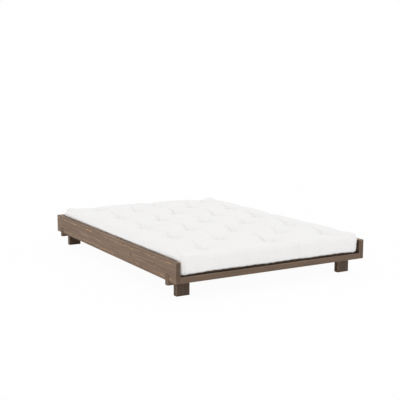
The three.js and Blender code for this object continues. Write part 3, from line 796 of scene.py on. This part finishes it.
SIDE_WAVES, SIDE_WAVE_SIZE, SIDE_INWARD = (0.47, 0.29, 0.17), 0.002, 0.06
FOOT_ROUNDING, FOOT_REACH = 0.020, 0.12  # of the bottom corners at the open end
CORNER_FILL, FILL_REACH = (0.010, 0.015), 0.06  # of its upright edges, over the left and the right board
FILL_FOOT, FILL_RISE = 0.35, (0.35, 0.85)  # share at the underside, and its rise in heights of the wall
EDGE_WIDTH = 0.09  # of both, across the futon


def fold_strokes(tufts, kinds, seed):
    """Folds that run out of each tuft: place, heading, reach, depth, half width and bend."""
    rng = np.random.default_rng(seed)
    strokes = []
    for x, y in tufts:
        for heading, reach, depth, width, stray, curve in kinds:
            turn = math.radians(heading + rng.normal(0, stray))
            size = depth * rng.uniform(0.6, 1.25)
            bend = curve + rng.normal(0, 0.02 * stray)
            strokes.append((x, y, turn, reach * rng.uniform(0.8, 1.15), size, width, bend))
    return strokes


def pressed_folds(x, y, tufts):
    """Depth of the top's folds and dimples; a fold is steeper on its +X side."""
    total = np.zeros(len(x))
    sharp = np.zeros(len(x))
    for layer, kinds, seed in ((total, FOLDS, FOLD_SEED), (sharp, CREASES, CREASE_SEED)):
        for sx, sy, turn, reach, depth, width, bend in fold_strokes(tufts, kinds, seed):
            dx, dy = x - sx, y - sy
            near = np.where(np.hypot(dx, dy) < reach * 1.05)[0]
            along = dx[near] * math.cos(turn) + dy[near] * math.sin(turn)
            across = dx[near] * math.sin(turn) - dy[near] * math.cos(turn) + bend * along ** 2
            share = np.clip(along / reach, 0, 1)
            fade = np.where(along > 0, (1 - share) ** 0.9, np.clip(1 + along / FOLD_BACK, 0, 1))
            side = np.where(across * math.sin(turn) > 0, FOLD_STEEP, FOLD_GENTLE)
            shape = np.exp(-np.abs(across) / (width * side))
            layer[near] = np.maximum(layer[near], depth * fade * shape)
    for sx, sy in tufts:
        apart = np.hypot(x - sx, y - sy)
        near = np.where(apart < DIMPLE_REACH)[0]
        dimple = DIMPLE_DEPTH * np.exp(-(apart[near] / DIMPLE_RADIUS) ** 1.2)
        total[near] = np.hypot(total[near], dimple)
    return total + sharp


def bowls(x, y, tufts):
    """The wide hollow round each tuft, between the pillows."""
    total = np.zeros(len(x))
    for sx, sy in tufts:
        total += BOWL_DEPTH * np.exp(-((x - sx) ** 2 + (y - sy) ** 2) / BOWL_RADIUS ** 2)
    return total


def gather_strokes(length, rng):
    """Gathers along one wall: place, depth, half width, reach up the wall and slant."""
    strokes = []
    place = -length + GATHER_MARGIN
    while place < length - GATHER_MARGIN:
        depth = GATHER_DEPTH * rng.uniform(0.3, 1.6)
        width, reach = rng.uniform(0.004, 0.007), rng.uniform(0.4, 1.05)
        strokes.append((place, depth, width, reach, rng.normal(0, 0.08)))
        place += GATHER_PITCH * rng.uniform(0.6, 1.5)
    return strokes


def gathered(place, height, strokes):
    """Inward depth of a wall's gathers; height is 0 at the bottom edge and 1 at the top."""
    total = np.zeros(len(place))
    for at, depth, width, reach, slant in strokes:
        offset = place - at - slant * (height - 0.3) * 0.1
        near = np.where(np.abs(offset) < 4 * width)[0]
        fade = np.clip((reach - height[near]) / GATHER_FADE, 0, 1)
        apart = np.abs(offset[near]) / width
        ridge = GATHER_RIDGE * np.exp(-((apart - 2) / 0.9) ** 2)
        total[near] += depth * fade * (np.exp(-apart ** 1.6) - ridge)
    return total


def eased(value, start, full):
    """0 at start and before it, 1 at full and beyond, smooth between."""
    share = np.clip((value - start) / (full - start), 0, 1)
    return share * share * (3 - 2 * share)


def slow_waves(place, rng, lengths, size):
    total = np.zeros(len(place))
    for length in lengths:
        total += np.sin(2 * math.pi * (place / length + rng.random()))
    return size * total / len(lengths)


def worked(places, normals, tufts):
    """The blown cover's points in their finer shape, and how deep the folds and dimples are pressed at each,
    for the painted shade in the cotton.
    """
    x, y, z = places.T.copy()
    nx, ny, nz = normals.T
    top = eased(nz, *TOP_FACING) * (z > UNDERSIDE_Z + TOP_FLOOR)
    limit = CROWN_Z - CROWN_MARGIN
    over = z > limit
    z[over] = limit + CROWN_SPAN * np.tanh((z[over] - limit) / CROWN_SPAN * CROWN_SLOPE)
    on_top = np.where(top > 0.01)[0]
    press = np.zeros(len(x))
    press[on_top] = pressed_folds(x[on_top], y[on_top], tufts)
    top *= eased(inside_distance(x, y), 0, PRESS_EDGE)
    z -= top * (press + bowls(x, y, tufts))
    height = (z - UNDERSIDE_Z) / (CROWN_Z - EDGE_DROP - UNDERSIDE_Z)
    wall = eased(height, *WALL_FADE) * eased(np.abs(nz), *WALL_FACING)
    rng = np.random.default_rng(31)
    for axis, length, values, n in ((1, HALF_WIDTH, y, ny), (0, HALF_LENGTH, x, nx)):
        along = places[:, 1 - axis]
        for side in (-1, 1):
            strokes = gather_strokes(length, rng)
            if axis == 1 and side < 0:
                strokes += [(*fold, TALL_REACH, 0) for fold in TALL_FOLDS]
            mine = np.where((side * n > SIDE_FACING[0]) & (wall > 0.01))[0]
            share = wall[mine] * eased(side * n[mine], *SIDE_FACING)
            inward = gathered(along[mine], height[mine], strokes)
            waves = slow_waves(along[mine], rng, WALL_WAVES, WALL_WAVE_SIZE)
            inward += waves * np.clip(height[mine] * 4, 0, 1)
            values[mine] -= side * share * inward
    z += plumped(x, y, tufts) * eased(z - UNDERSIDE_Z, *PLUMP_RISE)
    above = eased(z - BOARD_TOP, *BULGE_FROM) * eased(z - CROWN_Z, *BULGE_TO)
    for side, bulge in zip((-1, 1), SIDE_BULGE):
        near_edge = eased(HALF_WIDTH - side * x, BULGE_WIDTH, 0) * eased(from_ends(y), 0, BULGE_END)
        x += side * bulge * above * near_edge
    return np.column_stack([x, y, z]), top * press


def plumped(x, y, tufts):
    """Uneven filling: a higher head end, full corners, and edges that sag beside the outer tufts."""
    lift = HEAD_PLUMP * eased(y / HALF_LENGTH, *HEAD_RISE) * (1 - RIGHT_LACK * eased(x, *RIGHT_FADE))
    corner = np.hypot(from_sides(x), from_ends(y))
    lift += (CORNER_EAR + HEAD_EAR * (y > 0)) * eased(corner, CORNER_EAR_REACH, 0)
    rng = np.random.default_rng(53)
    for tx, ty in tufts:
        for side in (-1, 1):
            edges = ((x, y, tx, ty, HALF_WIDTH, HALF_LENGTH), (y, x, ty, tx, HALF_LENGTH, HALF_WIDTH))
            for across, along, at, beside, half, length in edges:
                gap = half - side * at
                sag = EDGE_SAG * rng.uniform(0.5, 1.3)
                if gap < EDGE_SAG_REACH:
                    close = np.exp(-((along - beside) / EDGE_SAG_WIDTH) ** 2)
                    close *= eased(length - abs(beside), 0, EDGE_SAG_REACH)
                    lift -= sag * close * eased(half - side * across, gap, 0)
    return lift


def foot_rounded(x, y, z):
    """At the open end the bottom corners are round and the upright edges fill out."""
    up = np.clip(z - UNDERSIDE_Z, 0, FOOT_ROUNDING)
    pull = FOOT_ROUNDING - np.sqrt(FOOT_ROUNDING ** 2 - (FOOT_ROUNDING - up) ** 2)
    share = eased(from_sides(x), EDGE_WIDTH, 0) * eased(HALF_LENGTH + y, FOOT_REACH, 0)
    x -= np.sign(x) * pull * share
    height = (z - UNDERSIDE_Z) / (CROWN_Z - UNDERSIDE_Z)
    edge = eased(from_sides(x), EDGE_WIDTH, 0) * eased(HALF_LENGTH + y, FILL_REACH, 0)
    rise = FILL_FOOT + (1 - FILL_FOOT) * eased(height, *FILL_RISE)
    x += np.sign(x) * np.where(x < 0, *CORNER_FILL) * edge * rise


def corners_eased(points, faces):
    """The wrinkles beside the upright edges are pulled out, as a full cover does."""
    points = points.copy()
    share = eased(np.hypot(from_sides(points[:, 0]), from_ends(points[:, 1])), CORNER_EASE, 0)
    upward = share * eased(points[:, 2] - UNDERSIDE_Z, 0, EASE_RISE)
    shares = np.column_stack([share, share, upward])
    pairs = np.concatenate([faces[:, [k, (k + 1) % 4]] for k in range(4)])
    pairs = np.unique(np.sort(pairs, axis=1), axis=0)
    pairs = pairs[share[pairs].max(axis=1) > 0]
    ends, others = np.concatenate([pairs, pairs[:, ::-1]]).T
    touched, ends = np.unique(ends, return_inverse=True)
    count = np.bincount(ends)
    for _ in range(EASE_ROUNDS):
        mean = np.column_stack([np.bincount(ends, points[others, axis]) / count for axis in range(3)])
        points[touched] += shares[touched] * (mean - points[touched])
    return points


def rolled(first, second):
    """What is left of two depths, each a share of a square edge's size, once it is made round."""
    both = np.minimum(first, second) > 0
    return np.where(both, np.maximum(first, second) / np.maximum(np.hypot(first, second), 1e-9), 1)


def corners_rounded(x, y, z):
    """The cover rolls over more at its top corners than along its edges."""
    top = CROWN_Z - EDGE_DROP
    sideways = np.clip(1 - from_sides(x) / CORNER_ROUND, 0, 1)
    upward = np.clip(1 - (top - z) / CORNER_ROUND, 0, 1)
    share = eased(from_ends(y), CORNER_ROUND_REACH, 0) * np.where((x > 0) & (y > 0), HIDDEN_CORNER, 1)
    cut = share * CORNER_ROUND * (1 - rolled(sideways, upward))
    x -= np.sign(x) * cut * sideways
    z -= cut * upward


def rim_lifted(x, y, z):
    """The bottom edges rise a little between the corners, most at the open near end."""
    rng = np.random.default_rng(41)
    low = eased(z - UNDERSIDE_Z, RIM_HEIGHT, 0)
    for side, lift in ((-1, RIM_LIFT), (1, 0.5 * RIM_LIFT)):
        corner = from_sides(x)
        rise = lift * (eased(corner, 0, RIM_CORNER) - RIM_DROOP * eased(corner, RIM_DROOP_REACH, 0))
        rise += slow_waves(x, rng, END_WAVES, END_WAVE_SIZE) * eased(corner, 0, RIM_WAVE_CORNER)
        z += np.maximum(rise, -END_WAVE_SIZE) * low * eased(HALF_LENGTH - side * y, END_INWARD, 0)
    for side in (-1, 1):
        corner = from_ends(y)
        rise = 0.4 * RIM_LIFT * eased(corner, 0, RIM_CORNER)
        rise += slow_waves(y, rng, SIDE_WAVES, SIDE_WAVE_SIZE) * eased(corner, 0, RIM_WAVE_CORNER)
        z += np.maximum(rise, 0) * low * eased(HALF_WIDTH - side * x, SIDE_INWARD, 0)


# Underside panel and tufting threads
UNDER_DIMPLE, UNDER_DIMPLE_RADIUS = 0.012, 0.030
THREAD_RADIUS, THREAD_SPAN, THREAD_RISE = 0.0009, 0.011, 0.0035
THREAD_SIDES, THREAD_STEPS = 6, 10


def with_underside(points, faces, fine_sheet, fine_wall, tufts):
    """The bottom panel, hung from the wall's last row and drawn up at each tuft."""
    across, along = fine_sheet.shape[0] - 1, fine_sheet.shape[1] - 1
    panel = filled(fine_wall[-1], across, along)
    inner = panel[1:-1, 1:-1].reshape(-1, 3)
    for x, y in tufts:
        apart = np.hypot(inner[:, 0] - x, inner[:, 1] - y)
        inner[:, 2] += UNDER_DIMPLE * np.exp(-(apart / UNDER_DIMPLE_RADIUS) ** 1.3)
    count = fine_wall.shape[1]
    index = np.empty((across + 1, along + 1), int)
    index[1:-1, 1:-1] = len(points) + np.arange(len(inner)).reshape(across - 1, along - 1)
    ring = len(points) - count + np.arange(count)
    index[:-1, 0] = ring[:across]
    index[-1, :-1] = ring[across:across + along]
    index[:0:-1, -1] = ring[across + along:2 * across + along]
    index[0, :0:-1] = ring[2 * across + along:]
    return np.vstack([points, inner]), np.vstack([faces, squares(index.T)])


UP = np.array([0, 0, 1])


def directions(turn):
    along = np.array([math.cos(turn), math.sin(turn), 0])
    return along, np.cross(UP, along)


def tube_ring(centre, across, out, radius, sides):
    angles = [2 * math.pi * k / sides for k in range(sides)]
    return [centre + radius * (across * math.cos(angle) + out * math.sin(angle)) for angle in angles]


def tube_faces(first, rings, sides):
    rows = first + np.arange(rings * sides).reshape(rings, sides)
    after = np.roll(rows, -1, 1)
    return np.stack([rows[:-1], after[:-1], after[1:], rows[1:]], -1).reshape(-1, 4).tolist()


def thread_mesh(spots):
    """One short bowed thread at each spot: place, direction of its span, and which way it bows."""
    points, faces = [], []
    for place, turn, side in spots:
        along, across = directions(turn)
        faces += tube_faces(len(points), THREAD_STEPS + 1, THREAD_SIDES)
        for step in range(THREAD_STEPS + 1):
            bow = math.pi * step / THREAD_STEPS
            rise = UP * side * THREAD_RISE * math.sin(bow)
            centre = place - along * THREAD_SPAN / 2 * math.cos(bow) + rise
            points += tube_ring(centre, across, UP, THREAD_RADIUS, THREAD_SIDES)
    return points, faces


def make_object(name, points, faces, material):
    mesh = make_mesh(name, points, faces)
    mesh.shade_smooth()
    mesh.materials.append(material)
    return placed(name, mesh)


def make_futon():
    sheet, wall = cover_grid()
    tufts = tuft_places()
    blown = blown_cover(sheet, wall, tufts)
    fine_sheet, fine_wall = finer_grids(*blown, sheet, tufts)
    points, faces = joined(fine_sheet, fine_wall)
    shell = len(points)
    points, faces = with_underside(points, faces, fine_sheet, fine_wall, tufts)
    points = corners_eased(points, faces)
    futon = make_object("futon", points, faces, cotton("cotton_cover"))
    mesh = futon.data
    places, crease_shade_depths = worked(numbers(mesh.vertices, "co"), numbers(mesh.vertex_normals, "vector"), tufts)
    for shape in (corners_rounded, rim_lifted, foot_rounded):
        shape(*places.T)
    places[:, :2] += FUTON_MIDDLE
    mesh.vertices.foreach_set("co", places.ravel())
    # These depths drive the painted shade in the cotton's creases.
    mesh.attributes.new("crease", "FLOAT", "POINT").data.foreach_set("value", crease_shade_depths)
    mesh.update()
    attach(futon, "futon")
    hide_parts("futon_cover", "futon_underside", "cotton_layer_bottom", "foam_core",
                "cotton_layer_top")
    top = places[:fine_sheet.shape[0] * fine_sheet.shape[1]]
    make_threads(tufts + FUTON_MIDDLE, top, places[shell:])


def make_threads(tufts, top, under):
    rng = np.random.default_rng(61)
    spots = []
    for tuft in tufts:
        for layer, side in ((top, 1), (under, -1)):
            apart = np.hypot(layer[:, 0] - tuft[0], layer[:, 1] - tuft[1])
            spots.append((layer[apart.argmin()], rng.uniform(0, math.pi), side))
    threads = make_object("tuft_threads", *thread_mesh(spots), twine("tuft_twine"))
    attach(threads, "futon")


# Webbing: two woven tapes that keep the slats at their spacing, stapled to each one
TAPE_SAG = 0.0012  # between two slats
TAPE_STEP = 0.006
TAPE_ACROSS = 8
TAPE_EDGE = 0.25  # share of the thickness that the edges lose
STAPLE_CROWN, STAPLE_WIRE = 0.012, 0.0005
STAPLE_SIDES = 6
STAPLE_INSET = 0.008  # from the tape's edges
STAPLE_TURN = 8  # stray of a staple from square, in degrees


def tape_sag(y, spans):
    total = np.zeros(len(y))
    for (_, start), (end, _) in zip(spans, spans[1:]):
        share = np.clip((y - start) / (end - start), 0, 1)
        total += TAPE_SAG * np.sin(math.pi * share) ** 2
    return total


def tape_mesh(low, high, spans):
    along = np.linspace(low.y, high.y, round((high.y - low.y) / TAPE_STEP) + 1)
    sag = tape_sag(along, spans)
    across = np.linspace(-1, 1, TAPE_ACROSS + 1)
    half, thickness = (high.x - low.x) / 2, high.z - low.z
    inset = TAPE_EDGE * thickness * np.abs(across) ** 6
    ring = [(u, thickness - lost) for u, lost in zip(across, inset)]
    ring += [(u, lost) for u, lost in zip(across[::-1], inset[::-1])]
    points = [(low.x + half * (1 + u), y, low.z + z - drop)
              for y, drop in zip(along, sag) for u, z in ring]
    count = len(ring)
    faces = tube_faces(0, len(along), count)
    last = len(points) - count
    faces += [tuple(range(count))[::-1], tuple(range(last, last + count))]
    return points, faces


def staple_mesh(places):
    """One staple at each place: its middle, and the angle of its crown from +X."""
    half, bend = STAPLE_CROWN / 2, 2 * STAPLE_WIRE
    path = [(-half, -bend, 0), (-half, 0, 45), (-half + bend, bend / 2, 90), (half - bend, bend / 2, 90),
            (half, 0, 135), (half, -bend, 180)]
    points, faces = [], []
    for place, turn in places:
        along, across = directions(turn)
        faces += tube_faces(len(points), len(path), STAPLE_SIDES)
        for reach, rise, lean in path:
            out = UP * math.sin(math.radians(lean)) - along * math.cos(math.radians(lean))
            centre = np.array(place) + along * reach + UP * rise
            points += tube_ring(centre, across, out, STAPLE_WIRE, STAPLE_SIDES)
    return points, faces


def make_webbing():
    rng = np.random.default_rng(71)
    spans = [(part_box(name)[0].y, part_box(name)[1].y) for name in SLATS]
    spots = []
    for side in ("left", "right"):
        low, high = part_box(f"webbing_{side}")
        tape = make_object(f"webbing_tape_{side}", *tape_mesh(low, high, spans), tape_cotton(f"tape_{side}"))
        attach(tape, "frame")
        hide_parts(f"webbing_{side}")
        for start, end in spans:
            for x in (low.x + STAPLE_INSET, high.x - STAPLE_INSET):
                turn = math.radians(90 + rng.normal(0, STAPLE_TURN))
                spots.append(((x, (start + end) / 2, high.z - STAPLE_WIRE / 2), turn))
    staples = make_object("webbing_staples", *staple_mesh(spots), steel("staple_steel"))
    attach(staples, "frame")


make_camera()
make_lights()
make_floor()
dress_timber()
dress_steel()
make_webbing()
make_futon()

scene.view_settings.view_transform = "Standard"


def corners(box):
    return [list(box[0]), list(box[1])]
